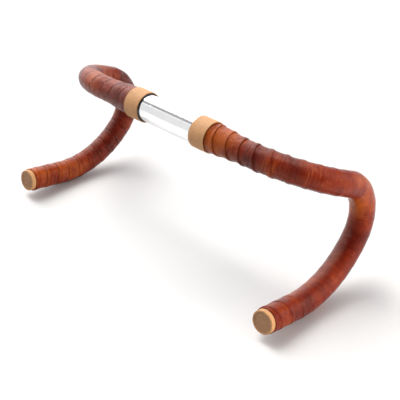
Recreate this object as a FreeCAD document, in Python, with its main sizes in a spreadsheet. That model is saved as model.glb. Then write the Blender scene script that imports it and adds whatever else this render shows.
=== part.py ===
"""Drop handlebar: bent aluminium tube, spiral leather tape, tan finishing bands and twist-tight end plugs.

Frame: millimetres, +Z up, +X to the rider's right, +Y forward. The origin is the centre of the stem clamp.
The bar is set down with its ramps sloping down towards the front by pitch_angle. Every piece is first drawn
level, with its ramps along +Y and its hooks hanging in -Z, and is then tilted by that one angle.
"""
import FreeCAD, Part
import os

import Sketcher
from FreeCAD import Vector

SIZES = {
    # The bent tube, along its centreline
    "pitch_angle": -23.5,
    "half_width": 193.9,
    "ramp_radius": 76.1,
    "hook_radius": 46.9,
    "hook_turn": 107.3,
    "drop_radius": 113.1,
    "drop_turn": 57.6,
    "drop_flare": 2.6,
    "end_length": 47.3,
    # The tube's section
    "clamp_radius": 15.9,
    "clamp_length": 50.0,
    "clamp_step": 0.15,
    "clamp_shoulder": 1.0,
    "grip_radius": 11.9,
    "centre_wall": 2.2,
    "grip_wall": 1.7,
    "taper_lead": 11.0,
    "plain_run": 13.0,
    # Tape, binding and band
    "band_start": 41.4,
    "band_width": 22.0,
    "band_thickness": 0.95,
    "binding_thickness": 1.3,
    "binding_show": 1.0,
    "backing_thickness": 0.35,
    "leather_thickness": 2.2,
    "layer_gap": 0.05,
    # End plug
    "cap_overhang": 1.3,
    "cap_thickness": 5.6,
    "cap_round": 0.8,
    "cap_rim": 1.9,
    "recess_depth": 1.3,
    "inlay_thickness": 0.9,
    "seat_gap": 0.1,
    "spigot_depth": 4.0,
    "spigot_clearance": 0.5,
    "screw_radius": 2.5,
    "screw_head": 4.0,
    "screw_head_height": 2.6,
    "screw_tip": 1.6,
    "thread_clearance": 0.05,
    "hole_clearance": 0.1,
    "washer_thickness": 1.2,
    "washer_margin": 0.9,
    "expander_length": 25.0,
    "expander_clearance": 0.1,
    "expander_bore": 3.0,
    "expander_lip": 1.2,
    "cone_depth": 11.0,
    "cone_clearance": 0.15,
    "throat_radius": 4.6,
    "wedge_foot": 2.5,
    "wedge_set_back": 1.0,
    "fin_width": 2.0,
    "fin_set_in": 0.5,
    "draw_reserve": 3.5,
}

# Sizes that follow from the driving ones, written as expressions for the features below
TAPER_START = "(size.band_start + size.band_width - size.taper_lead)"
TOP_END = "(size.half_width - size.ramp_radius)"
TAPER_END = f"({TOP_END} - size.plain_run)"
BODY_RADIUS = "(size.clamp_radius - size.clamp_step)"
BORE_RADIUS = "(size.grip_radius - size.grip_wall)"
BAND_END = "(size.band_start + size.band_width)"
LEATHER_START = f"({BAND_END} + size.layer_gap)"
BINDING_START = "(size.band_start - size.binding_show)"
BINDING_END = f"({BAND_END} - size.binding_show)"
BACKING_OUT = "(size.layer_gap + size.backing_thickness)"
LEATHER_IN = f"({BACKING_OUT} + size.layer_gap)"
LEATHER_OUT = f"({LEATHER_IN} + size.leather_thickness)"
BINDING_OUT = "(size.layer_gap + size.binding_thickness)"
BAND_IN = f"({BINDING_OUT} + size.layer_gap)"

# Placements, as expressions. A "path" frame has +Z along the tube and +X towards the next bend's centre.
NO_TURN = "rotation(vector(0; 0; 1); 0)"
PITCH = "placement(vector(0; 0; 0); rotation(vector(1; 0; 0); size.pitch_angle))"
TO_BAR_AXIS = "rotation(vector(1; 1; 1); 120)"
TOP_FRAME = f"placement(vector({TOP_END}; 0; 0); {TO_BAR_AXIS})"


def round_bend(radius, turn):
    """The step from the start of a bend to its end, in the path frame."""
    return (f"placement(vector({radius} - {radius} * cos({turn}); 0; {radius} * sin({turn})); "
            f"rotation(vector(0; 1; 0); {turn}))")


def along(distance):
    """A step straight along the tube."""
    return f"placement(vector(0; 0; {distance}); {NO_TURN})"


RAMP_TURN = "90"
INTO_HOOK = "placement(vector(0; 0; 0); rotation(vector(0; 0; 1); -90 - size.drop_flare))"
HOOK_FRAME = f"{TOP_FRAME} * {round_bend('size.ramp_radius', RAMP_TURN)} * {INTO_HOOK}"
DROP_FRAME = f"{HOOK_FRAME} * {round_bend('size.hook_radius', 'size.hook_turn')}"
GRIP_FRAME = f"{DROP_FRAME} * {round_bend('size.drop_radius', 'size.drop_turn')}"
PLUG_FRAME = f"{PITCH} * {GRIP_FRAME} * {along('size.end_length')}"

# Where a sketch's points start before its dimensions place them
ROUGH_STEP = 5.0
ROUGH_OUTER = 12.0
ROUGH_INNER = 10.0
ROUGH_AXIS = 60.0
AXIS_MARK = 10.0

doc = FreeCAD.newDocument("drop_handlebar")
sheet = doc.addObject("Spreadsheet::Sheet", "size")
for row, (alias, number) in enumerate(SIZES.items(), start=1):
    sheet.set(f"A{row}", alias)
    sheet.set(f"B{row}", str(number))
    sheet.setAlias(f"B{row}", alias)
doc.recompute()


def origin_plane(body, role):
    """One of a body's own origin planes."""
    for feature in body.Origin.OriginFeatures:
        if feature.Role == role:
            return feature


def new_body(name, place=None):
    """A body whose placement follows an expression."""
    body = doc.addObject("PartDesign::Body", name)
    body.Label = name
    if place:
        body.setExpression("Placement", place)
    return body


def new_sketch(body, name, role, frame=None):
    """A sketch on one of the body's origin planes, moved on that plane by an expression."""
    sketch = body.newObject("Sketcher::SketchObject", name)
    sketch.AttachmentSupport = [(origin_plane(body, role), "")]
    sketch.MapMode = "FlatFace"
    if frame:
        sketch.setExpression("AttachmentOffset", frame)
    return sketch


def drive(sketch, constraint, expression):
    """Add a dimension and bind it to an expression."""
    index = sketch.addConstraint(constraint)
    sketch.setExpression(f"Constraints[{index}]", expression)


def draw_outline(sketch, corners):
    """A closed outline whose every corner is placed by two expressions."""
    count = len(corners)
    rough = [Vector(ROUGH_STEP * (i + 2), ROUGH_STEP * (i % 2 + 2), 0) for i in range(count)]
    for i in range(count):
        sketch.addGeometry(Part.LineSegment(rough[i], rough[(i + 1) % count]), False)
    for i in range(count):
        sketch.addConstraint(Sketcher.Constraint("Coincident", i, 2, (i + 1) % count, 1))
    for i, (across, up) in enumerate(corners):
        drive(sketch, Sketcher.Constraint("DistanceX", -1, 1, i, 1, rough[i].x), across)
        drive(sketch, Sketcher.Constraint("DistanceY", -1, 1, i, 1, rough[i].y), up)


def draw_ring(sketch, outer, inner):
    """Two circles about the sketch's origin."""
    for rough, radius in ((ROUGH_OUTER, outer), (ROUGH_INNER, inner)):
        circle = sketch.addGeometry(Part.Circle(Vector(0, 0, 0), Vector(0, 0, 1), rough), False)
        sketch.addConstraint(Sketcher.Constraint("Coincident", circle, 3, -1, 1))
        drive(sketch, Sketcher.Constraint("Radius", circle, rough), radius)


def revolve(body, name, sketch, axis, angle="360"):
    """Turn a sketch about one of its axes."""
    turned = body.newObject("PartDesign::Revolution", name)
    turned.Profile = sketch
    turned.ReferenceAxis = (sketch, [axis])
    turned.setExpression("Angle", angle)
    sketch.Visibility = False
    return turned


def add_bend(body, name, frame, outer, inner, radius, turn):
    """A bent length of tube: a ring turned about the bend's axis."""
    sketch = new_sketch(body, f"{name}_ring", "XY_Plane", frame)
    draw_ring(sketch, outer, inner)
    low = Vector(ROUGH_AXIS, -AXIS_MARK / 2, 0)
    high = Vector(ROUGH_AXIS, AXIS_MARK / 2, 0)
    axis = sketch.addGeometry(Part.LineSegment(low, high), True)
    sketch.addConstraint(Sketcher.Constraint("Symmetric", axis, 1, axis, 2, -1))
    sketch.addConstraint(Sketcher.Constraint("DistanceY", axis, 1, axis, 2, AXIS_MARK))
    drive(sketch, Sketcher.Constraint("DistanceX", -1, 1, axis, 1, ROUGH_AXIS), radius)
    return revolve(body, name, sketch, "Axis0", turn)


def add_drop(body, name, outer, inner):
    """The ramp bend, hook, drop and straight grip of one side, with one section all the way."""
    ramp = add_bend(body, f"{name}_ramp", TOP_FRAME, outer, inner, "size.ramp_radius", RAMP_TURN)
    hook = add_bend(body, f"{name}_hook", HOOK_FRAME, outer, inner, "size.hook_radius", "size.hook_turn")
    drop = add_bend(body, f"{name}_drop", DROP_FRAME, outer, inner, "size.drop_radius", "size.drop_turn")
    ring = new_sketch(body, f"{name}_grip_ring", "XY_Plane", GRIP_FRAME)
    draw_ring(ring, outer, inner)
    grip = body.newObject("PartDesign::Pad", f"{name}_grip")
    grip.Profile = ring
    grip.setExpression("Length", "size.end_length")
    ring.Visibility = False
    return [ramp, hook, drop, grip]


def tube_radius(across):
    """The tube's outer radius at a distance from its middle, on the taper."""
    fall = f"({BODY_RADIUS} - size.grip_radius) / ({TAPER_END} - {TAPER_START})"
    return f"({BODY_RADIUS} - ({across} - {TAPER_START}) * {fall})"


def make_tube():
    """The bare bar: a raised clamp zone, a taper each side and two drops."""
    body = new_body("handlebar_tube", PITCH)
    half_clamp = "size.clamp_length / 2"
    outside = [
        (half_clamp, "size.clamp_radius"),
        (f"{half_clamp} + size.clamp_shoulder", BODY_RADIUS),
        (TAPER_START, BODY_RADIUS),
        (TAPER_END, "size.grip_radius"),
        (TOP_END, "size.grip_radius"),
    ]
    inside = [
        (TOP_END, BORE_RADIUS),
        (TAPER_END, BORE_RADIUS),
        (TAPER_START, f"{BODY_RADIUS} - size.centre_wall"),
    ]
    right = outside + inside
    left = [(f"-({across})", up) for across, up in reversed(right)]
    profile = new_sketch(body, "tube_profile", "XZ_Plane")
    draw_outline(profile, right + left)
    revolve(body, "tube_tops", profile, "H_Axis")
    drop = add_drop(body, "tube", "size.grip_radius", BORE_RADIUS)
    mirrored = body.newObject("PartDesign::Mirrored", "tube_left_drop")
    mirrored.Originals = drop
    mirrored.MirrorPlane = (origin_plane(body, "YZ_Plane"), [""])
    body.Tip = mirrored
    return body


def make_sleeve(name, inner, outer):
    """A layer of tape over the tube, from the band out to the bar end."""
    body = new_body(name, PITCH)
    profile = new_sketch(body, f"{name}_profile", "XZ_Plane")
    draw_outline(profile, [
        (LEATHER_START, f"{tube_radius(LEATHER_START)} + {inner}"),
        (TAPER_END, f"size.grip_radius + {inner}"),
        (TOP_END, f"size.grip_radius + {inner}"),
        (TOP_END, f"size.grip_radius + {outer}"),
        (TAPER_END, f"size.grip_radius + {outer}"),
        (LEATHER_START, f"{tube_radius(LEATHER_START)} + {outer}"),
    ])
    revolve(body, f"{name}_top", profile, "H_Axis")
    add_drop(body, name, f"size.grip_radius + {outer}", f"size.grip_radius + {inner}")
    return body


def make_binding():
    """Thin tape that holds the leather's end down; its edge shows inside the band."""
    body = new_body("right_binding_tape", PITCH)
    profile = new_sketch(body, "binding_profile", "XZ_Plane")
    draw_outline(profile, [
        (BINDING_START, f"{BODY_RADIUS} + size.layer_gap"),
        (TAPER_START, f"{BODY_RADIUS} + size.layer_gap"),
        (BINDING_END, f"{tube_radius(BINDING_END)} + size.layer_gap"),
        (BINDING_END, f"{tube_radius(BINDING_END)} + {BINDING_OUT}"),
        (TAPER_START, f"{BODY_RADIUS} + {BINDING_OUT}"),
        (BINDING_START, f"{BODY_RADIUS} + {BINDING_OUT}"),
    ])
    revolve(body, "binding_turn", profile, "H_Axis")
    return body


def make_band():
    """The finishing band: straight outside, and inside it follows the tube's taper."""
    body = new_body("right_finishing_band", PITCH)
    band_out = f"{BODY_RADIUS} + {BAND_IN} + size.band_thickness"
    profile = new_sketch(body, "band_profile", "XZ_Plane")
    draw_outline(profile, [
        ("size.band_start", f"{BODY_RADIUS} + {BAND_IN}"),
        (TAPER_START, f"{BODY_RADIUS} + {BAND_IN}"),
        (BAND_END, f"{tube_radius(BAND_END)} + {BAND_IN}"),
        (BAND_END, band_out),
        ("size.band_start", band_out),
    ])
    revolve(body, "band_turn", profile, "H_Axis")
    return body


# The end plug is drawn in its own frame: +Z out of the bar along its end, z = 0 at the tube's end face.
CAP_RADIUS = "(size.grip_radius + size.cap_overhang)"
CAP_FRONT = "(size.seat_gap + size.cap_thickness)"
RECESS_FLOOR = f"({CAP_FRONT} - size.recess_depth)"
RECESS_RADIUS = f"({CAP_RADIUS} - size.cap_rim)"
HEAD_TOP = f"({RECESS_FLOOR} - size.seat_gap)"
HEAD_BOTTOM = f"({HEAD_TOP} - size.screw_head_height)"
SPIGOT_RADIUS = f"({BORE_RADIUS} - size.spigot_clearance)"
SHANK_HOLE = "(size.screw_radius + size.thread_clearance)"
WASHER_TOP = "(0 - size.spigot_depth - size.seat_gap)"
WASHER_BOTTOM = f"({WASHER_TOP} - size.washer_thickness)"
EXPANDER_TOP = f"({WASHER_BOTTOM} - size.layer_gap)"
EXPANDER_BOTTOM = f"({EXPANDER_TOP} - size.expander_length)"
EXPANDER_RADIUS = f"({BORE_RADIUS} - size.expander_clearance)"
MOUTH_RADIUS = f"({EXPANDER_RADIUS} - size.expander_lip)"
CONE_TOP = f"({EXPANDER_BOTTOM} + size.cone_depth)"
WEDGE_TOP = f"({CONE_TOP} - size.wedge_set_back)"
WEDGE_BOTTOM = f"({EXPANDER_BOTTOM} - size.wedge_foot)"
SCREW_BOTTOM = f"({WEDGE_BOTTOM} - size.draw_reserve)"
FIN_REACH = f"({MOUTH_RADIUS} - size.fin_set_in)"


def cone_radius(height):
    """Radius of the expander's inner cone at a height."""
    slope = f"({MOUTH_RADIUS} - size.throat_radius) / size.cone_depth"
    return f"({MOUTH_RADIUS} - ({height} - {EXPANDER_BOTTOM}) * {slope})"


def turned_piece(name, corners, place=None):
    """A piece turned about the plug's axis, from corners given as (radius, height)."""
    body = new_body(name, place)
    profile = new_sketch(body, f"{name}_profile", "XZ_Plane")
    draw_outline(profile, corners)
    revolve(body, f"{name}_turn", profile, "V_Axis")
    return body


def ring_corners(inner, outer, low, high):
    """The four corners of a plain ring's section."""
    return [(inner, low), (outer, low), (outer, high), (inner, high)]


def block_across(name, reach, width, low, high):
    """A block that lies across the plug's axis."""
    block = doc.addObject("Part::Box", name)
    block.setExpression("Length", f"2 * ({reach})")
    block.setExpression("Width", width)
    block.setExpression("Height", f"({high}) - ({low})")
    corner = f"vector(-({reach}); -({width}) / 2; {low})"
    block.setExpression("Placement", f"placement({corner}; {NO_TURN})")
    return block


def hexagon(name, radius, low, height):
    """A six-sided prism on the plug's axis."""
    prism = doc.addObject("Part::Prism", name)
    prism.Polygon = 6
    prism.setExpression("Circumradius", radius)
    prism.setExpression("Height", height)
    prism.setExpression("Placement", along(low))
    return prism


def join(kind, name, first, second, place=None):
    """A boolean of two shapes: Part::Cut, Part::Fuse or Part::Common."""
    result = doc.addObject(kind, name)
    result.Base = first
    result.Tool = second
    result.Label = name
    if place:
        result.setExpression("Placement", place)
    return result


def make_cap():
    """The turned cap: a rim round a recess, a hexagonal seat for the screw's head and a spigot."""
    body = turned_piece("cap_blank", [
        (SHANK_HOLE, "-size.spigot_depth"),
        (SPIGOT_RADIUS, "-size.spigot_depth"),
        (SPIGOT_RADIUS, "size.seat_gap"),
        (CAP_RADIUS, "size.seat_gap"),
        (CAP_RADIUS, f"{CAP_FRONT} - size.cap_round"),
        (f"{CAP_RADIUS} - size.cap_round", CAP_FRONT),
        (RECESS_RADIUS, CAP_FRONT),
        (RECESS_RADIUS, RECESS_FLOOR),
        (SHANK_HOLE, RECESS_FLOOR),
    ])
    seat = hexagon("cap_head_seat", "size.screw_head + size.thread_clearance", HEAD_BOTTOM,
                   "size.screw_head_height + size.recess_depth")
    return join("Part::Cut", "right_plug_cap", body, seat, PLUG_FRAME)


def make_inlay():
    """The disc in the cap's recess."""
    low = f"{RECESS_FLOOR} + size.layer_gap"
    edge = f"{RECESS_RADIUS} - size.layer_gap"
    return turned_piece("right_plug_inlay", [
        ("0", low),
        (edge, low),
        (edge, f"{low} + size.inlay_thickness"),
        ("0", f"{low} + size.inlay_thickness"),
    ], PLUG_FRAME)


def make_screw():
    """A hexagon-headed screw with a chamfered tip."""
    shank = turned_piece("screw_shank", [
        ("0", SCREW_BOTTOM),
        ("size.screw_radius - size.screw_tip / 2", SCREW_BOTTOM),
        ("size.screw_radius", f"{SCREW_BOTTOM} + size.screw_tip"),
        ("size.screw_radius", HEAD_BOTTOM),
        ("0", HEAD_BOTTOM),
    ])
    head = hexagon("screw_hexagon", "size.screw_head", HEAD_BOTTOM, "size.screw_head_height")
    return join("Part::Fuse", "right_plug_screw", shank, head, PLUG_FRAME)


def make_washer():
    """A flat washer between the cap and the rubber."""
    hole = "size.screw_radius + size.hole_clearance"
    edge = f"{EXPANDER_RADIUS} - size.washer_margin"
    return turned_piece("right_plug_washer", ring_corners(hole, edge, WASHER_BOTTOM, WASHER_TOP), PLUG_FRAME)


def make_expander():
    """The rubber sleeve: a cone at its deep end, with two slots that keep the wedge from turning."""
    sleeve = turned_piece("expander_sleeve", [
        ("size.expander_bore", EXPANDER_TOP),
        ("size.expander_bore", CONE_TOP),
        ("size.throat_radius", CONE_TOP),
        (MOUTH_RADIUS, EXPANDER_BOTTOM),
        (EXPANDER_RADIUS, EXPANDER_BOTTOM),
        (EXPANDER_RADIUS, EXPANDER_TOP),
    ])
    slots = block_across("expander_slots", f"{FIN_REACH} + size.cone_clearance",
                         "size.fin_width + 2 * size.cone_clearance", EXPANDER_BOTTOM, CONE_TOP)
    return join("Part::Cut", "right_plug_expander", sleeve, slots, PLUG_FRAME)


def make_wedge():
    """The threaded wedge: a cone with two fins, on the screw."""
    cone = turned_piece("wedge_cone", [
        (SHANK_HOLE, WEDGE_BOTTOM),
        (f"{MOUTH_RADIUS} - size.cone_clearance", WEDGE_BOTTOM),
        (f"{MOUTH_RADIUS} - size.cone_clearance", EXPANDER_BOTTOM),
        (f"{cone_radius(WEDGE_TOP)} - size.cone_clearance", WEDGE_TOP),
        (SHANK_HOLE, WEDGE_TOP),
    ])
    fins = block_across("wedge_fins", FIN_REACH, "size.fin_width", WEDGE_BOTTOM, WEDGE_TOP)
    bore = turned_piece("wedge_bore", [
        ("0", WEDGE_BOTTOM),
        (SHANK_HOLE, WEDGE_BOTTOM),
        (SHANK_HOLE, WEDGE_TOP),
        ("0", WEDGE_TOP),
    ])
    bored_fins = join("Part::Cut", "wedge_bored_fins", fins, bore)
    return join("Part::Fuse", "right_plug_wedge", cone, bored_fins, PLUG_FRAME)


def make_left(right):
    """The left-hand copy of a right-hand piece."""
    left = doc.addObject("Part::Mirroring", right.Label.replace("right_", "left_"))
    left.Source = right
    left.Base = Vector(0, 0, 0)
    left.Normal = Vector(1, 0, 0)
    left.Label = right.Label.replace("right_", "left_")
    return left


right_pieces = [
    make_sleeve("right_adhesive_backing", "size.layer_gap", BACKING_OUT),
    make_sleeve("right_leather_tape", LEATHER_IN, LEATHER_OUT),
    make_binding(),
    make_band(),
    make_cap(),
    make_inlay(),
    make_screw(),
    make_washer(),
    make_expander(),
    make_wedge(),
]
nodes = [make_tube()] + right_pieces + [make_left(piece) for piece in right_pieces]
doc.recompute()

for thing in doc.Objects:
    if "Invalid" in thing.State or "Error" in thing.State:
        raise RuntimeError(f"{thing.Label} did not build: {thing.State}")
for node in nodes:
    if node.Shape.isNull() or not node.Shape.isValid() or len(node.Shape.Solids) != 1:
        raise RuntimeError(f"{node.Label} is not one valid solid")

os.makedirs("parts", exist_ok=True)
for node in nodes:
    node.Shape.exportStep(os.path.join("parts", f"{node.Label}.step"))
    print(f"{node.Label}: {node.Shape.Volume / 1000:.2f} cm3")
end_frame = doc.getObject("right_plug_cap").Placement
print("right end at", end_frame.Base, "pointing", end_frame.Rotation.multVec(Vector(0, 0, 1)))
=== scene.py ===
# %% [markdown]
# # A drop handlebar, wrapped in leather
# This is the kind of bar that a road bicycle has: one aluminium tube, bare and polished in the middle where the
# stem clamps it, and wrapped in leather strip from there to both ends. A tan band covers the inner end of each
# wrap, black tape shows as a thin line beside it, and a turned plug with a dark face closes each end of the tube.
# The exact solids come from the CAD model as a fixed frame. Each step below gives one kind of piece its looks.

# %% Load the fixed frame
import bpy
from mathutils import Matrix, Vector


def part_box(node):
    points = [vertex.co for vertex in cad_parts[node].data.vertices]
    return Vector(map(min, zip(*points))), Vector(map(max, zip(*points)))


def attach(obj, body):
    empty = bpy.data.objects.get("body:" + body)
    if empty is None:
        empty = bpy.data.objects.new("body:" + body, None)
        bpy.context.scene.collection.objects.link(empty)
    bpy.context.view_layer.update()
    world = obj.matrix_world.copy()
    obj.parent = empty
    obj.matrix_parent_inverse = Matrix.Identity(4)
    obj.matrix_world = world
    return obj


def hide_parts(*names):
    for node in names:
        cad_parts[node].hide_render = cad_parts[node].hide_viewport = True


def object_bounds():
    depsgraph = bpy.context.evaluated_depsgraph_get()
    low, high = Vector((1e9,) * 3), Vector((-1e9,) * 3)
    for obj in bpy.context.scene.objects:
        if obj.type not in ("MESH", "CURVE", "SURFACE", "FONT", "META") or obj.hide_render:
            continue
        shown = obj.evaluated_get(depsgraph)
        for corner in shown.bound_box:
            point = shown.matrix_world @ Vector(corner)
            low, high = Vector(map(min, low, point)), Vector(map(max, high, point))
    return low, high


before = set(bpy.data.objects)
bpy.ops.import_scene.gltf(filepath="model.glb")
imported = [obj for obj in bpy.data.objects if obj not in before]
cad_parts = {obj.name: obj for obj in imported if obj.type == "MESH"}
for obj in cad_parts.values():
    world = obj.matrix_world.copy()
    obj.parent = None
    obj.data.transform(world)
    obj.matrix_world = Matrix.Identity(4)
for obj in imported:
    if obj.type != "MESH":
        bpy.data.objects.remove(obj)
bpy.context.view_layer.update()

# %% Tools for the rest of the lesson
import math

import bmesh
import bpy
from mathutils import Matrix, Vector

MM = 0.001
SIDES = {"right": 1, "left": -1}

# %% [markdown]
# ## The bar's path
# Every piece but the screws sits on one line: the middle of the tube. Seen from the middle of the bar it runs
# straight to the side, bends forward, hooks down and back, and sweeps into the straight end. Working that line out
# once, with the bar's own sizes, lets each piece say only how far along it is and how far out from it.

# %% The bar's own sizes, in millimetres
TILT = math.radians(-23.5)
HALF_WIDTH = 193.9
RAMP_RADIUS = 76.1
HOOK_RADIUS = 46.9
HOOK_TURN = math.radians(107.3)
DROP_RADIUS = 113.1
DROP_TURN = math.radians(57.6)
FLARE = math.radians(2.6)
END_LENGTH = 47.3
PAST_THE_END = 60.0
TOP_LENGTH = HALF_WIDTH - RAMP_RADIUS


def in_the_hook(forward, down):
    """A point in the hook's own plane, which leans outwards by the flare."""
    return Vector((HALF_WIDTH + down * math.sin(FLARE), RAMP_RADIUS + forward, -down * math.cos(FLARE)))


def bar_line(spacing=1.0):
    """Points along one half of the bar, from its middle to a little past its end, with the tube's bends."""
    lengths = [TOP_LENGTH, RAMP_RADIUS * math.pi / 2, HOOK_RADIUS * HOOK_TURN, DROP_RADIUS * DROP_TURN,
               END_LENGTH + PAST_THE_END]
    full_turn = HOOK_TURN + DROP_TURN
    drop_start = (HOOK_RADIUS * math.sin(HOOK_TURN), HOOK_RADIUS * (1 - math.cos(HOOK_TURN)))
    end_start = (drop_start[0] + DROP_RADIUS * (math.sin(full_turn) - math.sin(HOOK_TURN)),
                 drop_start[1] + DROP_RADIUS * (math.cos(HOOK_TURN) - math.cos(full_turn)))

    def top(d):
        return Vector((d, 0, 0))

    def ramp(d):
        turn = d / RAMP_RADIUS
        return Vector((TOP_LENGTH + RAMP_RADIUS * math.sin(turn), RAMP_RADIUS * (1 - math.cos(turn)), 0))

    def hook(d):
        turn = d / HOOK_RADIUS
        return in_the_hook(HOOK_RADIUS * math.sin(turn), HOOK_RADIUS * (1 - math.cos(turn)))

    def drop(d):
        turn = HOOK_TURN + d / DROP_RADIUS
        return in_the_hook(drop_start[0] + DROP_RADIUS * (math.sin(turn) - math.sin(HOOK_TURN)),
                           drop_start[1] + DROP_RADIUS * (math.cos(HOOK_TURN) - math.cos(turn)))

    def end(d):
        return in_the_hook(end_start[0] + d * math.cos(full_turn), end_start[1] + d * math.sin(full_turn))

    line, start = [], 0.0
    for length, place in zip(lengths, (top, ramp, hook, drop, end)):
        steps = max(2, round(length / spacing))
        first = 0 if not line else 1
        for k in range(first, steps + 1):
            line.append((start + length * k / steps, place(length * k / steps)))
        start += length
    tilt = Matrix.Rotation(TILT, 3, "X")
    return [(d, tilt @ p) for d, p in line], start - PAST_THE_END


LINE, BAR_LENGTH = bar_line()
RAMP_START, HOOK_START = TOP_LENGTH, TOP_LENGTH + RAMP_RADIUS * math.pi / 2
DROP_START = HOOK_START + HOOK_RADIUS * HOOK_TURN
print(f"half of the bar is {BAR_LENGTH:.1f} mm long, on {len(LINE)} points")

# %% The tube's and the wrap's radius along the path
BARE_RADIUS, CLAMP_RADIUS, GRIP_RADIUS = 15.75, 15.9, 11.9
BARE_BORE, GRIP_BORE = 13.55, 10.2
CLAMP_HALF, CLAMP_SHOULDER = 25.0, 1.0
FAR_OUT = 999
TAPER_START, TAPER_END = 52.4, 104.8
BAND_START, BAND_END = 41.4, 63.4
LEATHER_BUILD = 2.65
WRAP_RELIEF = {
    "right": [(0, 0.9), (RAMP_START, 0.8), (HOOK_START - 75, 0.75), (HOOK_START - 30, 0.3), (DROP_START, 0.12),
              (BAR_LENGTH - 60, 0.15), (BAR_LENGTH - 20, 0.35), (BAR_LENGTH + 99, 0.4)],
    "left": [(0, 0.4), (RAMP_START, 0.25), (DROP_START, 0.2), (DROP_START + 60, 0.35), (BAR_LENGTH - 45, 0.35),
             (BAR_LENGTH + 99, 0.4)],
}


def between(x, table):
    """The value at x of a line through a table's points."""
    for (x0, y0), (x1, y1) in zip(table, table[1:]):
        if x <= x1:
            return y0 + (y1 - y0) * (x - x0) / (x1 - x0)
    return table[-1][1]


def grip_outside(d):
    """The tube's outer radius under the wrap, d along the path from the middle."""
    return between(d, [(0, BARE_RADIUS), (TAPER_START, BARE_RADIUS), (TAPER_END, GRIP_RADIUS),
                       (FAR_OUT, GRIP_RADIUS)])


# %% The path as a helper object
def path_object(name, points, layers_show):
    """A line of vertices that carries, at each one, the wrap's outer radius and how much its layers show."""
    mesh = bpy.data.meshes.new(name)
    mesh.from_pydata([p * MM for _, p in points], [(k, k + 1) for k in range(len(points) - 1)], [])
    outer = mesh.attributes.new("outer", "FLOAT", "POINT")
    relief = mesh.attributes.new("relief", "FLOAT", "POINT")
    for k, (d, _) in enumerate(points):
        outer.data[k].value = (grip_outside(abs(d)) + LEATHER_BUILD) * MM
        relief.data[k].value = between(abs(d), layers_show)
    helper = bpy.data.objects.new(name, mesh)
    bpy.context.scene.collection.objects.link(helper)
    return helper


def mirrored(p):
    return Vector((-p.x, p.y, p.z))


half_paths = {
    "right": path_object("path_right", LINE, WRAP_RELIEF["right"]),
    "left": path_object("path_left", [(d, mirrored(p)) for d, p in LINE], WRAP_RELIEF["left"]),
}
whole_line = [(-d, mirrored(p)) for d, p in reversed(LINE[1:])] + LINE
whole_path = path_object("path_whole", whole_line, WRAP_RELIEF["right"])
WHOLE_MIDDLE = BAR_LENGTH + PAST_THE_END
print("paths:", [len(p.data.vertices) for p in (*half_paths.values(), whole_path)], "vertices")

# %% [markdown]
# ## One node tree that winds a section round the path
# A leather strip, a ring of tape, a turned cap and the tube itself all follow one rule: take a closed outline, hold
# it at some distance along the path, and carry it round the path. Moving it along by one pitch in every turn makes
# a wrap, and a single turn with no pitch makes a ring. Geometry Nodes suit this: a grid has one row for each step
# of the turn and one column for each corner of the outline, and Set Position puts every grid point in its place.
# The tree's inputs are the outline, the path and the sizes of the winding, so one tree makes all these pieces.

# %% Helpers that build a tree
def node(tree, kind, inputs=None, **settings):
    """Adds a node, sets it up, and gives each input a value or another node's output."""
    made = tree.nodes.new(kind)
    for name, value in settings.items():
        setattr(made, name, value)
    for key, value in (inputs or {}).items():
        if isinstance(value, bpy.types.NodeSocket):
            tree.links.new(value, made.inputs[key])
        else:
            made.inputs[key].default_value = value
    return made


def calc(tree, operation, *values):
    """One step of arithmetic: returns its output."""
    return node(tree, "ShaderNodeMath", dict(enumerate(values)), operation=operation).outputs[0]


def vec(tree, operation, *values):
    """One step of vector arithmetic: returns its output."""
    made = node(tree, "ShaderNodeVectorMath", None, operation=operation)
    for socket, value in zip([s for s in made.inputs if s.enabled], values):
        if isinstance(value, bpy.types.NodeSocket):
            tree.links.new(value, socket)
        else:
            socket.default_value = value
    return [s for s in made.outputs if s.enabled][0]


# %% The winding tree
WINDING_INPUTS = [
    ("Path", "NodeSocketObject", None), ("Outline", "NodeSocketObject", None),
    ("Outline points", "NodeSocketInt", 4), ("Turns", "NodeSocketFloat", 1.0),
    ("Steps per turn", "NodeSocketInt", 64), ("Pitch", "NodeSocketFloat", 0.0),
    ("Start", "NodeSocketFloat", 0.0), ("First angle", "NodeSocketFloat", 0.0),
    ("Hand", "NodeSocketFloat", 1.0), ("Follow the wrap", "NodeSocketFloat", 0.0),
    ("Build", "NodeSocketFloat", 0.0), ("Wander", "NodeSocketFloat", 0.0),
    ("Crease", "NodeSocketFloat", 0.0), ("Seed", "NodeSocketFloat", 0.0),
    ("Finish", "NodeSocketMaterial", None),
]


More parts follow.
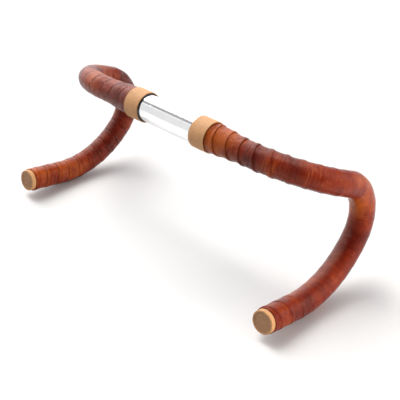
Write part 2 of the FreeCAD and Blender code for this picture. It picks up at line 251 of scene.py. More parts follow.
def winding_tree():
    tree = bpy.data.node_groups.new("wind_round_path", "GeometryNodeTree")
    tree.interface.new_socket("Geometry", in_out="OUTPUT", socket_type="NodeSocketGeometry")
    for name, kind, value in WINDING_INPUTS:
        socket = tree.interface.new_socket(name, in_out="INPUT", socket_type=kind)
        if value is not None:
            socket.default_value = value
    given = tree.nodes.new("NodeGroupInput").outputs
    columns = calc(tree, "ADD", given["Outline points"], 1)
    rows = calc(tree, "ADD", calc(tree, "ROUND", calc(tree, "MULTIPLY", given["Turns"], given["Steps per turn"])), 1)
    grid = node(tree, "GeometryNodeMeshGrid",
                {"Size X": 1.0, "Size Y": 1.0, "Vertices X": rows, "Vertices Y": columns})
    place = node(tree, "ShaderNodeSeparateXYZ", {0: tree.nodes.new("GeometryNodeInputPosition").outputs[0]}).outputs
    turned = calc(tree, "MULTIPLY", calc(tree, "ADD", place[0], 0.5), given["Turns"])
    column = calc(tree, "ROUND", calc(tree, "MULTIPLY", calc(tree, "ADD", place[1], 0.5), given["Outline points"]))
    corner = calc(tree, "MODULO", column, given["Outline points"])

    outline = node(tree, "GeometryNodeObjectInfo", {"Object": given["Outline"]}).outputs["Geometry"]
    spot = node(tree, "GeometryNodeSampleIndex",
                {"Geometry": outline, "Value": tree.nodes.new("GeometryNodeInputPosition").outputs[0], "Index": corner},
                data_type="FLOAT_VECTOR").outputs[0]
    spot = node(tree, "ShaderNodeSeparateXYZ", {0: spot}).outputs
    across, height, open_top = spot[0], spot[1], spot[2]

    wander = node(tree, "ShaderNodeTexNoise", {"Vector": node(tree, "ShaderNodeCombineXYZ", {
        0: calc(tree, "MULTIPLY", turned, 0.8), 1: given["Seed"]}).outputs[0], "Scale": 1.0, "Detail": 1.0})
    drift = calc(tree, "MULTIPLY", calc(tree, "SUBTRACT", wander.outputs["Fac"], 0.5), given["Wander"])
    along = calc(tree, "ADD", calc(tree, "ADD", calc(tree, "ADD", given["Start"], drift),
                                   calc(tree, "MULTIPLY", turned, given["Pitch"])), across)
    path = node(tree, "GeometryNodeObjectInfo", {"Object": given["Path"]}).outputs["Geometry"]
    curve = node(tree, "GeometryNodeMeshToCurve", {"Mesh": path}).outputs[0]

    def sample(attribute):
        field = node(tree, "GeometryNodeInputNamedAttribute", {"Name": attribute}, data_type="FLOAT").outputs[0]
        return node(tree, "GeometryNodeSampleCurve", {"Curves": curve, "Value": field, "Length": along},
                    mode="LENGTH", data_type="FLOAT").outputs

    at_outer, at_relief = sample("outer"), sample("relief")
    relief = at_relief["Value"]
    on_the_bar = calc(tree, "MAXIMUM", 0.0, calc(tree, "MULTIPLY", open_top, -1.0))
    flattened = calc(tree, "MULTIPLY", calc(tree, "SUBTRACT", relief, 1.0), calc(tree, "SUBTRACT", 1.0, on_the_bar))
    shown = calc(tree, "ADD", 1.0, calc(tree, "MULTIPLY", given["Follow the wrap"], flattened))
    layered = calc(tree, "MULTIPLY", calc(tree, "SUBTRACT", height, given["Build"]), shown)
    creases = node(tree, "ShaderNodeTexNoise", {"Vector": node(tree, "ShaderNodeCombineXYZ", {
        0: calc(tree, "MULTIPLY", turned, 2.2), 1: calc(tree, "MULTIPLY", along, 330.0), 2: given["Seed"]}).outputs[0],
        "Scale": 1.0, "Detail": 2.0, "Roughness": 0.55}).outputs["Fac"]
    crease = calc(tree, "MULTIPLY", calc(tree, "MULTIPLY", calc(tree, "SUBTRACT", creases, 0.5), given["Crease"]),
                  calc(tree, "MULTIPLY", calc(tree, "MAXIMUM", open_top, 0.0), relief))
    radius = calc(tree, "ADD", calc(tree, "ADD", layered, crease),
                  calc(tree, "MULTIPLY", at_outer["Value"], given["Follow the wrap"]))
    angle = calc(tree, "ADD", calc(tree, "MULTIPLY", calc(tree, "MULTIPLY", turned, given["Hand"]), math.tau),
                 given["First angle"])
    side_way = vec(tree, "CROSS_PRODUCT", at_outer["Tangent"], at_outer["Normal"])
    spoke = vec(tree, "ADD", vec(tree, "SCALE", at_outer["Normal"], calc(tree, "COSINE", angle)),
                vec(tree, "SCALE", side_way, calc(tree, "SINE", angle)))
    final = vec(tree, "ADD", at_outer["Position"], vec(tree, "SCALE", spoke, radius))
    strip = node(tree, "ShaderNodeCombineXYZ", {0: turned, 1: across, 2: relief}).outputs[0]

    kept = node(tree, "GeometryNodeStoreNamedAttribute",
                {"Geometry": grid.outputs[0], "Name": "strip", "Value": strip},
                data_type="FLOAT_VECTOR", domain="POINT").outputs[0]
    moved = node(tree, "GeometryNodeSetPosition", {"Geometry": kept, "Position": final}).outputs[0]
    closed = node(tree, "GeometryNodeMergeByDistance", {"Geometry": moved, "Distance": 0.000004}).outputs[0]
    smooth = node(tree, "GeometryNodeSetShadeSmooth", {"Geometry": closed}).outputs[0]
    real = node(tree, "GeometryNodeRealizeInstances", {"Geometry": smooth}).outputs[0]
    done = node(tree, "GeometryNodeSetMaterial", {"Geometry": real, "Material": given["Finish"]}).outputs[0]
    tree.links.new(done, tree.nodes.new("NodeGroupOutput").inputs[0])
    return tree


WIND = winding_tree()
print("winding tree:", len(WIND.nodes), "nodes and", len(WINDING_INPUTS), "inputs")


# %% A function that runs the tree and keeps a plain mesh
def outline_object(name, corners):
    """A closed outline in millimetres: each corner is (along the path, out from it, kind), and a kind of 1 may show
    creases, 0 is hidden and -1 lies on the bar."""
    mesh = bpy.data.meshes.new(name)
    count = len(corners)
    points = [(c[0] * MM, c[1] * MM, c[2] if len(c) > 2 else 0) for c in corners]
    mesh.from_pydata(points, [(k, (k + 1) % count) for k in range(count)], [])
    helper = bpy.data.objects.new(name, mesh)
    bpy.context.scene.collection.objects.link(helper)
    return helper


def facing_out(mesh):
    """Turns every face of a closed mesh outwards."""
    bm = bmesh.new()
    bm.from_mesh(mesh)
    bmesh.ops.recalc_face_normals(bm, faces=bm.faces)
    if bm.calc_volume(signed=True) < 0:
        bmesh.ops.reverse_faces(bm, faces=bm.faces)
    bm.to_mesh(mesh)
    bm.free()


def wind(name, path, corners, finish, cuts=(), **sizes):
    """Winds an outline round a path and returns the finished piece as a plain mesh object."""
    outline = outline_object(name + "_outline", corners)
    holder = bpy.data.objects.new(name + "_holder", bpy.data.meshes.new(name + "_holder"))
    bpy.context.scene.collection.objects.link(holder)
    modifier = holder.modifiers.new("winding", "NODES")
    modifier.node_group = WIND
    values = {"Path": path, "Outline": outline, "Outline points": len(corners), "Finish": finish}
    values.update({key.replace("_", " ").capitalize(): value for key, value in sizes.items()})
    for item in WIND.interface.items_tree:
        if item.in_out == "INPUT" and item.name in values:
            modifier[item.identifier] = values[item.name]
    evaluated = holder.evaluated_get(bpy.context.evaluated_depsgraph_get())
    mesh = bpy.data.meshes.new_from_object(evaluated)
    holder.modifiers.remove(modifier)
    bpy.data.objects.remove(holder)
    bpy.data.objects.remove(outline)
    for point, direction in cuts:
        cut_off(mesh, point, direction)
    facing_out(mesh)
    # A cut leaves new faces in an empty material slot, so the finish is given to every face here.
    mesh.materials.clear()
    mesh.materials.append(finish)
    mesh.polygons.foreach_set("material_index", [0] * len(mesh.polygons))
    mesh.name = name
    piece = bpy.data.objects.new(name, mesh)
    bpy.context.scene.collection.objects.link(piece)
    print(f"{name}: {len(mesh.vertices)} vertices, {len(mesh.polygons)} faces")
    return piece


def cut_off(mesh, point, direction):
    """Cuts away what lies beyond a plane and closes the cut."""
    bm = bmesh.new()
    bm.from_mesh(mesh)
    everything = bm.verts[:] + bm.edges[:] + bm.faces[:]
    cut = bmesh.ops.bisect_plane(bm, geom=everything, plane_co=point, plane_no=direction, clear_outer=True)
    rim = [e for e in cut["geom_cut"] if isinstance(e, bmesh.types.BMEdge) and e.is_boundary]
    bmesh.ops.triangle_fill(bm, edges=rim, use_beauty=True, normal=direction)
    bm.to_mesh(mesh)
    bm.free()

# %% [markdown]
# ## Finishes
# Each finish is a node material on Blender's Principled shader. The patterns read Object coordinates, or the
# strip attribute that the winding tree stores, which says how many turns along the strip a point is and how far
# across it. Colours are linear numbers, darker than the eye expects.

# %% Helpers for finishes
def new_finish(name, roughness, metallic=0.0, **more):
    """A material, its node tree and its shader, with the numbers that are the same all over the piece."""
    material = bpy.data.materials.new(name)
    material.use_nodes = True
    tree = material.node_tree
    shader = tree.nodes["Principled BSDF"]
    shader.inputs["Roughness"].default_value = roughness
    shader.inputs["Metallic"].default_value = metallic
    for key, value in more.items():
        shader.inputs[key.replace("_", " ")].default_value = value
    return material, tree, shader


def object_place(tree):
    return tree.nodes.new("ShaderNodeTexCoord").outputs["Object"]


def noise(tree, place, scale, detail=2.0, roughness=0.5):
    return node(tree, "ShaderNodeTexNoise", {"Vector": place, "Scale": scale, "Detail": detail,
                                             "Roughness": roughness}).outputs["Fac"]


def ramp(tree, value, stops):
    """A colour ramp from (position, colour) stops."""
    made = node(tree, "ShaderNodeValToRGB", {"Fac": value})
    elements = made.color_ramp.elements
    for k, (position, colour) in enumerate(stops):
        element = elements[k] if k < 2 else elements.new(position)
        element.position = position
        element.color = (*colour, 1)
    return made.outputs["Color"]


def mix(tree, amount, first, second):
    """Mixes two colours by an amount that varies over the piece."""
    made = tree.nodes.new("ShaderNodeMix")
    made.data_type = "RGBA"
    for socket, value in zip((made.inputs[0], made.inputs[6], made.inputs[7]), (amount, first, second)):
        if isinstance(value, bpy.types.NodeSocket):
            tree.links.new(value, socket)
        elif socket.type == "VALUE":
            socket.default_value = value
        else:
            socket.default_value = (*value, 1)
    return made.outputs[2]


def near(tree, value, middle, reach):
    """1 where a value is at the middle, falling to 0 at the reach."""
    away = calc(tree, "ABSOLUTE", calc(tree, "SUBTRACT", value, middle))
    made = node(tree, "ShaderNodeMapRange", {"Value": away, "From Min": 0.0, "From Max": reach, "To Min": 1.0,
                                             "To Max": 0.0}, interpolation_type="SMOOTHSTEP")
    return made.outputs["Result"]


def bumps(tree, shader, *layers):
    """Chains bumps: each layer is (height, strength, distance in metres)."""
    normal = None
    for height, strength, distance in layers:
        made = node(tree, "ShaderNodeBump", {"Height": height, "Strength": strength, "Distance": distance})
        if normal is not None:
            tree.links.new(normal, made.inputs["Normal"])
        normal = made.outputs["Normal"]
    tree.links.new(normal, shader.inputs["Normal"])


# %% [markdown]
# ## The leather strip's sizes and finish
# The strip is a long ribbon of waxed leather, wound from the bar's end towards the middle. Each turn laps over the
# one before it, so its outer edge lies open and faces the bar's end. The outline below is one turn's section: flat
# underneath, then climbing over the buried edge of the turn before. The leather is dyed a rust brown, is burnished
# darker at its open edges, with painted shade deepening the seams where the step between turns is high, and has fine
# creases that run along the strip where winding has stretched it, coloured with painted shade in their hollows and a
# painted highlight on their ridges. Painted light and shade also rise and fall along the wrap.

# %% The strip's section
STRIP_WIDTH, PITCH_MM, LAYER = 24.0, 17.5, 1.1
SKIVE, LAYER_GAP, EDGE_ROUND = 4.0, 0.03, 0.55


def strip_height(x):
    """The top of the strip's first layer: pared thin at its buried edge."""
    t = min(1.0, max(0.0, x / SKIVE))
    return LAYER * (0.18 + 0.82 * t * t * (3 - 2 * t))


def strip_section():
    """The strip's closed section in order: over the top to the open edge, round it, and back underneath."""
    top_marks = [0, 1.2, 2.4, 4, 5.6, 6.4, 6.9, 7.6, 8.8, 10.2, 11.8, 13.4, 15, 16.6, 17.5, 18.4, 19.3, 20.2, 21.3]
    corners = []
    for x in top_marks:
        lift = strip_height(x - PITCH_MM) if x > PITCH_MM else 0
        base = LAYER if x > SKIVE else strip_height(x)
        open_here = x > 6.5
        corners.append((x, base + lift - (0 if open_here else 2 * LAYER_GAP), 1.0 if open_here else 0.0))
    edge_top = 2 * LAYER
    for k in range(6):
        turn = math.pi / 2 * k / 5
        corners.append((STRIP_WIDTH - EDGE_ROUND + EDGE_ROUND * math.sin(turn),
                        edge_top - EDGE_ROUND + EDGE_ROUND * math.cos(turn), 1.0 if k < 5 else 0.6))
    for x in (24.0, 23.0, 21.3, 20.2, 19.3, 18.4, 17.5, 13.0, 8.0, 4.0):
        lapped = x >= PITCH_MM
        under = strip_height(x - PITCH_MM) - LAYER_GAP if lapped else 0
        corners.append((x, under, 0.0 if lapped else -1.0))
    return corners


STRIP = strip_section()
print("the strip's section has", len(STRIP), "corners")


# %% Leather
TURNS_A_SIDE = 26
SEAM_AT, OPEN_EDGE_AT = 0.0066, 0.0243
# Painted light and shade along the wrap, by turns from the band: darker over the ramp and the top of the drop, lighter
# at the lower drop towards the end.
PAINTED_LIGHT_AND_SHADE_ALONG_WRAP = [(0.1, 0.5), (0.98, 0.57), (0.23, 0.47), (0.33, 0.46), (0.46, 0.5), (0.65, 0.47), (0.77, 0.45), (0.92, 0.53)]


def leather_finish():
    """Dyed leather: patchy and creased along the strip, with burnished dark edges and painted shade in its seams,
    painted shade and highlight on its creases, and painted light and shade along the wrap.
    """
    material, tree, shader = new_finish("leather_rust_brown", 0.36, Specular_IOR_Level=0.35,
                                        Specular_Tint=(1, 0.66, 0.5, 1))
    place = object_place(tree)
    strip = node(tree, "ShaderNodeAttribute", None, attribute_name="strip").outputs["Vector"]
    part = node(tree, "ShaderNodeSeparateXYZ", {0: strip}).outputs
    turned, across, relief = part
    along = calc(tree, "ADD", calc(tree, "MULTIPLY", turned, PITCH_MM), calc(tree, "MULTIPLY", across, 1 / MM))
    lines = node(tree, "ShaderNodeCombineXYZ", {0: calc(tree, "MULTIPLY", turned, 3.0), 1: along}).outputs[0]
    creases = calc(tree, "MULTIPLY", calc(tree, "SUBTRACT", noise(tree, lines, 0.55, 4.0, 0.7), 0.5),
                   calc(tree, "MINIMUM", 1.0, calc(tree, "ADD", relief, 0.2)))
    broad = noise(tree, place, 19.0, 3.0)
    mottle = noise(tree, place, 240.0, 4.0, 0.6)
    grain = node(tree, "ShaderNodeTexVoronoi", {"Vector": place, "Scale": 1500.0},
                 feature="DISTANCE_TO_EDGE").outputs[0]
    # Painted shade and highlight: crease hollows are coloured darker and crease ridges lighter, on top of the random
    # mottle.
    fine_tone_and_crease_shade = calc(tree, "ADD", calc(tree, "MULTIPLY", mottle, 0.1),
                     calc(tree, "ADD", 0.15, calc(tree, "MULTIPLY", creases, 0.3)))
    tone = calc(tree, "ADD", calc(tree, "MULTIPLY", broad, 0.6), fine_tone_and_crease_shade)
    # Painted light and shade: the leather's tone rises and falls along the wrap by this table.
    wear_and_painted_shade = ramp(tree, calc(tree, "MULTIPLY", turned, 1 / TURNS_A_SIDE), [(at, (grey,) * 3) for at, grey in PAINTED_LIGHT_AND_SHADE_ALONG_WRAP])
    tone = calc(tree, "SUBTRACT", calc(tree, "ADD", tone, wear_and_painted_shade), 0.5)
    colour = ramp(tree, tone, [(0.41, (0.10, 0.006, 0.003)), (0.61, (0.44, 0.085, 0.010)),
                               (0.50, (0.215, 0.019, 0.004))])
    # The strip's edges are burnished dark, and painted shade deepens these lines where the step between turns is high.
    burnished_edge_and_seam_shade = calc(tree, "MULTIPLY", calc(tree, "MAXIMUM", near(tree, across, SEAM_AT, 0.0008),
                                         near(tree, across, OPEN_EDGE_AT, 0.0009)),
                  calc(tree, "MINIMUM", 1.0, calc(tree, "MULTIPLY", calc(tree, "MULTIPLY", relief, relief), 1.4)))
    colour = mix(tree, calc(tree, "MULTIPLY", burnished_edge_and_seam_shade, 0.6), colour, (0.03, 0.006, 0.004))
    tree.links.new(colour, shader.inputs["Base Color"])
    polish = node(tree, "ShaderNodeMapRange", {"Value": mottle, "From Min": 0.3, "From Max": 0.7, "To Min": 0.2,
                                               "To Max": 0.28}).outputs["Result"]
    tree.links.new(polish, shader.inputs["Roughness"])
    bumps(tree, shader, (creases, 1.0, 0.0024), (mottle, 0.12, 0.0002), (grain, 0.1, 0.0001))
    return material


LEATHER = leather_finish()


# %% [markdown]
# ## Tan bands, black tape and plug faces
# The bands and the caps of the plugs are tan, like finely pressed cork, matt and slightly mottled. The plug's face
# is a darker disc of the same kind. The tape that holds the end of the leather is satin black.

# %% Tan cork, dark face and black tape
def cork_finish(name, light, dark, fleck):
    material, tree, shader = new_finish(name, 0.62)
    place = object_place(tree)
    soft = noise(tree, place, 60.0, 3.0)
    fine = noise(tree, place, 900.0, 3.0, 0.65)
    grains = node(tree, "ShaderNodeTexVoronoi", {"Vector": place, "Scale": 620.0}).outputs["Color"]
    grain = node(tree, "ShaderNodeSeparateColor", {0: grains}).outputs[0]
    tone = calc(tree, "ADD", calc(tree, "MULTIPLY", soft, 0.5), calc(tree, "ADD", calc(tree, "MULTIPLY", fine, 0.3),
                                                                calc(tree, "MULTIPLY", grain, 0.2)))
    colour = ramp(tree, tone, [(0.3, dark), (0.68, light)])
    spots = node(tree, "ShaderNodeMapRange", {"Value": noise(tree, place, 420.0, 2.0), "From Min": 0.66,
                                              "From Max": 0.74}).outputs["Result"]
    tree.links.new(mix(tree, calc(tree, "MULTIPLY", spots, 0.5), colour, fleck), shader.inputs["Base Color"])
    bumps(tree, shader, (fine, 0.3, 0.0002), (grain, 0.12, 0.0001))
    return material


CORK = cork_finish("cork_tan", (0.66, 0.355, 0.16), (0.52, 0.26, 0.11), (0.30, 0.14, 0.055))
FACE = cork_finish("dark_plug_face", (0.50, 0.26, 0.125), (0.33, 0.165, 0.08), (0.15, 0.075, 0.035))


def tape_finish():
    material, tree, shader = new_finish("black_binding_tape", 0.34, Coat_Weight=0.2, Coat_Roughness=0.3)
    stretch = noise(tree, object_place(tree), 320.0, 3.0)
    tree.links.new(ramp(tree, stretch, [(0.3, (0.006, 0.006, 0.007)), (0.7, (0.016, 0.016, 0.017))]),
                   shader.inputs["Base Color"])
    bumps(tree, shader, (stretch, 0.3, 0.0002))
    return material


TAPE = tape_finish()

# %% [markdown]
# ## Metal, rubber, nylon and adhesive
# The bare middle is polished aluminium: a mirror, blurred a little by the fine rings that polishing leaves. The
# plug's screw and washer are zinc plated, its sleeve is black rubber, its wedge nylon, and the strip of adhesive
# under the leather is a woven backing.

# %% Metal, rubber, nylon and adhesive
def metal_finish(name, light, dark, roughness, rings, depth):
    material, tree, shader = new_finish(name, roughness, metallic=1.0)
    place = object_place(tree)
    stretched = node(tree, "ShaderNodeMapping", {"Vector": place, "Scale": rings}).outputs[0]
    lines = noise(tree, stretched, 1.0, 3.0, 0.6)
    cloud = noise(tree, place, 45.0, 2.0)
    tree.links.new(ramp(tree, cloud, [(0.35, dark), (0.65, light)]), shader.inputs["Base Color"])
    wear_and_painted_shade = node(tree, "ShaderNodeMapRange", {"Value": lines, "From Min": 0.3, "From Max": 0.7,
                                             "To Min": roughness * 0.8, "To Max": roughness * 1.25}).outputs["Result"]
    tree.links.new(wear_and_painted_shade, shader.inputs["Roughness"])
    bumps(tree, shader, (lines, 0.12, depth))
    return material


ALUMINIUM = metal_finish("polished_aluminium", (0.93, 0.93, 0.94), (0.88, 0.885, 0.9), 0.13, (2600, 40, 40), 0.00004)
STEEL = metal_finish("zinc_plated_steel", (0.62, 0.62, 0.63), (0.48, 0.48, 0.5), 0.3, (900, 900, 900), 0.00005)


def moulded_finish(name, light, dark, roughness, scale):
    material, tree, shader = new_finish(name, roughness)
    texture = noise(tree, object_place(tree), scale, 4.0, 0.6)
    tree.links.new(ramp(tree, texture, [(0.35, dark), (0.65, light)]), shader.inputs["Base Color"])
    bumps(tree, shader, (texture, 0.3, 0.0002))
    return material


RUBBER = moulded_finish("black_rubber", (0.035, 0.034, 0.033), (0.018, 0.018, 0.018), 0.7, 700.0)
NYLON = moulded_finish("dark_nylon", (0.06, 0.06, 0.062), (0.04, 0.04, 0.042), 0.45, 350.0)
ADHESIVE = moulded_finish("adhesive_backing", (0.62, 0.56, 0.45), (0.46, 0.41, 0.32), 0.8, 1400.0)
print("finishes:", [m.name for m in bpy.data.materials])

# %% [markdown]
# ## Winding the leather
# The strip winds the opposite way on the two sides, as a rider's hands twist outwards. It starts a turn and a half
# before the band and runs past the bar's end, and is then cut straight at both places, as it is with a knife on
# the real bar. The crease and wander inputs keep the turns from looking machine made.

# %% The two leather wraps
OUTWARD = (LINE[-1][1] - LINE[-20][1]).normalized()
BAR_END = LINE[-1][1] - OUTWARD * PAST_THE_END
BAND_GAP = 0.05


def on_side(v, sign):
    """A right-hand point or direction, moved to the side wanted."""
    return Vector((v.x * sign, v.y, v.z))


def wrap_cuts(sign):
    """Where the strip is cut: beside the band, and flush with the end of the tube."""
    return [(Vector(((BAND_END + BAND_GAP) * sign, 0, 0)) * MM, Vector((-sign, 0, 0))),
            (on_side(BAR_END, sign) * MM, on_side(OUTWARD, sign))]


WRAP_START = BAND_END - 1.5 * PITCH_MM
WRAP_TURNS = (BAR_LENGTH - WRAP_START) / PITCH_MM + 0.4
STEPS_PER_TURN = 64
wraps = {}
for side, sign in SIDES.items():
    wraps[side] = wind(f"{side}_leather_wrap", half_paths[side], STRIP, LEATHER, wrap_cuts(sign),
                       turns=WRAP_TURNS, steps_per_turn=STEPS_PER_TURN, pitch=PITCH_MM * MM, start=WRAP_START * MM,
                       hand=float(sign), first_angle=0.9, follow_the_wrap=1.0, build=2 * LAYER * MM,
                       wander=1.1 * MM, crease=1.8 * MM, seed=3.0 + sign)
    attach(wraps[side], "handlebar")
    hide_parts(f"{side}_leather_tape")

# %% [markdown]
# ## The tube, the bands and the black tape
# The tube is the longest ring of all: its outline is the whole wall, from one end to the other and back inside the
# bore, and one turn of it round the path makes the bent tube with its raised clamp zone and its tapers.

# %% The bent tube
def both_ways(marks):
    return [-d for d in reversed(marks) if d] + marks


straight_marks = [0, 12, 20, 24.7, 25, 26, 26.3, 32, 40, 46, 52.1, 52.4, 52.7, 62, 72, 82, 92, 104.4, 104.8, 105.2,
                  111]
bend_marks = [RAMP_START + (BAR_LENGTH - RAMP_START) * k / 122 for k in range(122)]
end_marks = [BAR_LENGTH - 0.9, BAR_LENGTH - 0.3]
wall_marks = both_ways(straight_marks + bend_marks + end_marks)
EDGE_BREAK = 0.3


def tube_outside(d):
    raised = between(d, [(0, CLAMP_RADIUS), (CLAMP_HALF, CLAMP_RADIUS), (CLAMP_HALF + CLAMP_SHOULDER, BARE_RADIUS)])
    return raised if d < CLAMP_HALF + CLAMP_SHOULDER else grip_outside(d)


def tube_bore(d):
    return between(d, [(0, BARE_BORE), (TAPER_START, BARE_BORE), (TAPER_END, GRIP_BORE), (FAR_OUT, GRIP_BORE)])


wall = [(-BAR_LENGTH, GRIP_RADIUS - EDGE_BREAK)] + [(d, tube_outside(abs(d))) for d in wall_marks]
wall += [(BAR_LENGTH, GRIP_RADIUS - EDGE_BREAK), (BAR_LENGTH, GRIP_BORE + EDGE_BREAK)]
wall += [(d, tube_bore(abs(d))) for d in reversed(wall_marks)] + [(-BAR_LENGTH, GRIP_BORE + EDGE_BREAK)]
tube = wind("bent_tube", whole_path, [(WHOLE_MIDDLE + d, r) for d, r in wall], ALUMINIUM, steps_per_turn=96)
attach(tube, "handlebar")
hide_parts("handlebar_tube")

# %% Bands and black tape
TAPE_START, TAPE_END = BAND_START - 1.0, BAND_END - 1.0
TAPE_IN, TAPE_OUT = BARE_RADIUS + 0.05, BARE_RADIUS + 1.35
BAND_IN, BAND_OUT = TAPE_OUT + 0.05, TAPE_OUT + 1.0

TAPE_FILM = 0.325
LAYER_SLIPS = (0.0, 0.05, 0.02, 0.09)
tape_outline = [(TAPE_START + 0.12, TAPE_IN)]
for layer, slip in enumerate(LAYER_SLIPS):
    foot = TAPE_IN + layer * TAPE_FILM
    tape_outline += [(TAPE_START + slip, foot + 0.07), (TAPE_START + slip, foot + 0.26),
                     (TAPE_START + slip + 0.07, foot + TAPE_FILM)]
tape_outline += [(TAPE_START + 3, TAPE_OUT), (TAPE_END, TAPE_OUT), (TAPE_END, TAPE_IN), (TAPE_START + 9, TAPE_IN)]

soft_edge = [(0.0, 0.35), (0.05, 0.18), (0.16, 0.06), (0.34, 0.0), (0.9, 0.0)]
band_outline = [(BAND_START, BAND_IN)] + [(BAND_START + x, BAND_OUT - drop) for x, drop in soft_edge]
band_outline += [(BAND_START + (BAND_END - BAND_START) * k / 8, BAND_OUT) for k in range(1, 8)]
band_outline += [(BAND_END - x, BAND_OUT - drop) for x, drop in reversed(soft_edge)] + [(BAND_END, BAND_IN)]
band_outline += [(BAND_START + 11, BAND_IN)]

for side, sign in SIDES.items():
    rings = ((f"{side}_binding_wound", tape_outline, TAPE, f"{side}_binding_tape", "black_tape"),
             (f"{side}_band_wound", band_outline, CORK, f"{side}_finishing_band", "cork"))
    for name, outline, finish, cad_node, slot_name in rings:
        ring = wind(name, half_paths[side], outline, finish, steps_per_turn=96, hand=float(sign))
        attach(ring, "handlebar")
        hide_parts(cad_node)

# %% [markdown]
# ## The end plugs
# Each plug is a turned cap whose rim stands round a darker disc, on a screw that draws a wedge into a rubber
# sleeve. The cap and its face are turned pieces, so they are outlines wound once about the bar's own end, where the
# path runs on straight. The screw, washer, sleeve and wedge keep their CAD shapes, which are already exact.

# %% Caps and faces
CAP_RADIUS, CAP_FRONT, CAP_ROUND = 13.2, 5.7, 0.8
SPIGOT_RADIUS, SPIGOT_DEPTH, SEAT_GAP = 9.7, 4.0, 0.1
RECESS_RADIUS, RECESS_FLOOR = 11.3, 4.4
HEAD_HOLE, HEAD_FLOOR, SHANK_HOLE = 4.1, 1.8, 2.55

cap_outline = [(-SPIGOT_DEPTH, SHANK_HOLE), (-SPIGOT_DEPTH, SPIGOT_RADIUS - 0.4), (0.4 - SPIGOT_DEPTH, SPIGOT_RADIUS),
               (SEAT_GAP - 0.1, SPIGOT_RADIUS), (SEAT_GAP, SPIGOT_RADIUS + 0.1), (SEAT_GAP, CAP_RADIUS - 0.35),
               (SEAT_GAP + 0.1, CAP_RADIUS - 0.1), (SEAT_GAP + 0.35, CAP_RADIUS), (SEAT_GAP + 1.2, CAP_RADIUS),
               (CAP_FRONT - CAP_ROUND - 0.8, CAP_RADIUS)]
for k in range(7):
    turn = math.pi / 2 * k / 6
    cap_outline.append((CAP_FRONT - CAP_ROUND + CAP_ROUND * math.sin(turn),
                        CAP_RADIUS - CAP_ROUND + CAP_ROUND * math.cos(turn)))
cap_outline += [(CAP_FRONT, RECESS_RADIUS + 0.6), (CAP_FRONT, RECESS_RADIUS + 0.3),
                (CAP_FRONT - 0.1, RECESS_RADIUS + 0.1), (CAP_FRONT - 0.35, RECESS_RADIUS),
                (RECESS_FLOOR, RECESS_RADIUS), (RECESS_FLOOR, HEAD_HOLE), (HEAD_FLOOR, HEAD_HOLE),
                (HEAD_FLOOR, SHANK_HOLE)]

FACE_LOW, FACE_TOP, FACE_EDGE = RECESS_FLOOR + 0.05, RECESS_FLOOR + 0.95, RECESS_RADIUS - 0.05
face_outline = [(FACE_LOW, 0), (FACE_LOW, FACE_EDGE), (FACE_TOP - 0.2, FACE_EDGE), (FACE_TOP - 0.05, FACE_EDGE - 0.08),
                (FACE_TOP, FACE_EDGE - 0.25)]
FACE_RINGS = (8.6, 4.6)
for ring in FACE_RINGS:
    face_outline += [(FACE_TOP, ring + 0.5), (FACE_TOP - 0.1, ring + 0.3), (FACE_TOP - 0.3, ring + 0.15),
                     (FACE_TOP - 0.3, ring - 0.15), (FACE_TOP - 0.1, ring - 0.3), (FACE_TOP, ring - 0.5)]
face_outline += [(FACE_TOP, 2.0), (FACE_TOP, 0)]
for side, sign in SIDES.items():
    turned = ((f"{side}_cap_turned", cap_outline, CORK, f"{side}_plug_cap", "cork"),
              (f"{side}_face_disc", face_outline, FACE, f"{side}_plug_inlay", "dark_inlay"))
    for name, outline, finish, cad_node, slot_name in turned:
        piece = wind(name, half_paths[side], outline, finish, steps_per_turn=96, start=BAR_LENGTH * MM,
                     hand=float(sign))
        low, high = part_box(cad_node)
        print(cad_node, [round(v / MM, 1) for v in (*low, *high)])
        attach(piece, f"{side}_cap")
        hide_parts(cad_node)

# %% Finishes for the CAD pieces that stay
KEPT = {"plug_screw": STEEL, "plug_washer": STEEL, "plug_expander": RUBBER, "plug_wedge": NYLON,
        "adhesive_backing": ADHESIVE}
for side in SIDES:
    for name, finish in KEPT.items():
        cad_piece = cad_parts[f"{side}_{name}"]
        for slot in cad_piece.material_slots:
            slot.material = finish
print("kept CAD pieces:", len(KEPT) * len(SIDES))

# %% Remove the helper lines
for helper in (*half_paths.values(), whole_path):
    bpy.data.objects.remove(helper)

# %% [markdown]
# ## Floor, light and camera
# The bar stands on a plain pale floor. A large soft light above, a little in front and to the left, makes the soft
# shadows, and a low warm one at the side brings out the leather. Polished metal and waxed leather show their
# surroundings, so the surround is brighter at the upper left and both sides, darker ahead and behind the camera,
# and has one grey strip overhead that draws the grey line along the bare tube. The camera itself sees it plain.

# %% Floor
FLOOR_GAP, FLOOR_REACH = 0.0002, 15.0
floor_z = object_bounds()[0].z - FLOOR_GAP
floor_corners = [(x * FLOOR_REACH, y * FLOOR_REACH, floor_z) for x, y in ((-1, -1), (1, -1), (1, 1), (-1, 1))]
floor_mesh = bpy.data.meshes.new("floor")
floor_mesh.from_pydata(floor_corners, [], [(0, 1, 2, 3)])
floor = bpy.data.objects.new("floor", floor_mesh)
bpy.context.scene.collection.objects.link(floor)
paper, paper_tree, paper_shader = new_finish("pale_paper", 0.9)
paper_grain = noise(paper_tree, object_place(paper_tree), 3.0)
paper_tone = ramp(paper_tree, paper_grain, [(0.3, (0.735, 0.74, 0.755)), (0.7, (0.755, 0.76, 0.775))])
bounce = paper_tree.nodes.new("ShaderNodeLightPath").outputs["Is Diffuse Ray"]
paper_tree.links.new(mix(paper_tree, bounce, paper_tone, (0.42, 0.42, 0.42)), paper_shader.inputs["Base Color"])
floor_mesh.materials.append(paper)

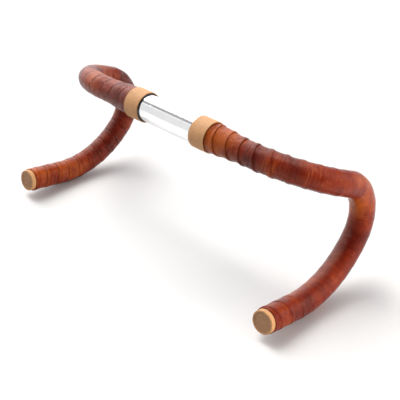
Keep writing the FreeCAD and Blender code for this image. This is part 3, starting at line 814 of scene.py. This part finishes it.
# %% Surround
world = bpy.data.worlds.new("pale_surround")
bpy.context.scene.world = world
world.use_nodes = True
sky = world.node_tree
looking = sky.nodes.new("ShaderNodeTexCoord").outputs["Generated"]
direction = node(sky, "ShaderNodeSeparateXYZ", {0: looking}).outputs
overhead = calc(sky, "ARCTAN2", direction[2], calc(sky, "MULTIPLY", direction[1], -1.0))
STRIP_AT, STRIP_REACH, STRIP_SHARPNESS = math.radians(68), math.radians(20), 3.0


def toward(aim, start, full):
    """1 where a direction points the way of the aim, falling to 0 away from it."""
    match = vec(sky, "DOT_PRODUCT", looking, Vector(aim).normalized())
    return node(sky, "ShaderNodeMapRange", {"Value": match, "From Min": start, "From Max": full},
                interpolation_type="SMOOTHSTEP").outputs[0]


grey_strip = calc(sky, "MULTIPLY", near(sky, overhead, STRIP_AT, STRIP_REACH), STRIP_SHARPNESS)
grey_strip = calc(sky, "MULTIPLY", calc(sky, "MINIMUM", 1.0, grey_strip), toward((0, 0, 1), 0.45, 0.6))
ahead = toward((0, 0.95, 0.25), 0.5, 0.95)
upper_left = toward((-0.62, 0, 0.78), 0.85, 0.97)
left = toward((-0.92, 0.3, 0.05), 0.6, 0.95)
right = toward((0.85, 0.5, 0.15), 0.6, 0.9)
behind_camera = toward((0.72, -0.62, 0.31), 0.15, 0.65)
surround = (0.85, 0.85, 0.85)
for amount, colour in ((ahead, (0.25, 0.25, 0.25)), (upper_left, (9.0, 8.8, 8.3)), (left, (2.6, 2.6, 2.65)),
                       (right, (2.6, 2.5, 2.4)), (grey_strip, (0.42, 0.42, 0.43)),
                       (behind_camera, (0.06, 0.06, 0.06))):
    surround = mix(sky, amount, surround, colour)
seen = sky.nodes.new("ShaderNodeLightPath").outputs["Is Camera Ray"]
background = sky.nodes["Background"]
sky.links.new(mix(sky, seen, surround, (0.95, 0.95, 0.95)), background.inputs["Color"])
background.inputs["Strength"].default_value = 1.0

# %% The soft lights
def soft_light(name, place, size, power, colour):
    """A square soft light that faces the middle of the bar, and doesn't show in reflections."""
    data = bpy.data.lights.new(name, "AREA")
    data.shape, data.size, data.energy, data.color = "SQUARE", size, power, colour
    light = bpy.data.objects.new(name, data)
    light.location = place
    light.rotation_euler = (-Vector(place)).to_track_quat("-Z", "Y").to_euler()
    light.visible_glossy = False
    bpy.context.scene.collection.objects.link(light)


soft_light("light_from_above", (-0.55, -0.45, 1.6), size=1.1, power=11.0, colour=(1, 1, 1))
soft_light("light_from_the_side", (1.25, 0.1, -0.07), size=0.5, power=17.0, colour=(1, 0.93, 0.85))

# %% Camera
AZIMUTH, ELEVATION, ROLL = math.radians(44.81), math.radians(28.03), math.radians(0.70)
DISTANCE = 1.0624
LOOKED_AT = Vector((0, 0.040, -0.060))
AIM_RIGHT, AIM_UP = 0.0019, -0.0495
LENS, SENSOR_WIDTH = 81.4, 36.0

back = Vector((math.sin(AZIMUTH) * math.cos(ELEVATION), -math.cos(AZIMUTH) * math.cos(ELEVATION),
               math.sin(ELEVATION)))
level = Vector((math.cos(AZIMUTH), math.sin(AZIMUTH), 0))
upright = back.cross(level)
right_way = level * math.cos(ROLL) + upright * math.sin(ROLL)
up_way = upright * math.cos(ROLL) - level * math.sin(ROLL)
aim = (right_way * AIM_RIGHT + up_way * AIM_UP - back).normalized()
camera_back = -aim
camera_right = (right_way - camera_back * right_way.dot(camera_back)).normalized()
camera_up = camera_back.cross(camera_right)
camera_data = bpy.data.cameras.new("camera")
camera_data.lens = LENS
camera_data.sensor_width = SENSOR_WIDTH
camera_data.dof.use_dof = False
camera = bpy.data.objects.new("camera", camera_data)
turn = Matrix((camera_right, camera_up, camera_back)).transposed().to_4x4()
camera.matrix_world = Matrix.Translation(LOOKED_AT + back * DISTANCE) @ turn
bpy.context.scene.collection.objects.link(camera)
bpy.context.scene.camera = camera
bpy.context.scene.view_settings.view_transform = "Standard"
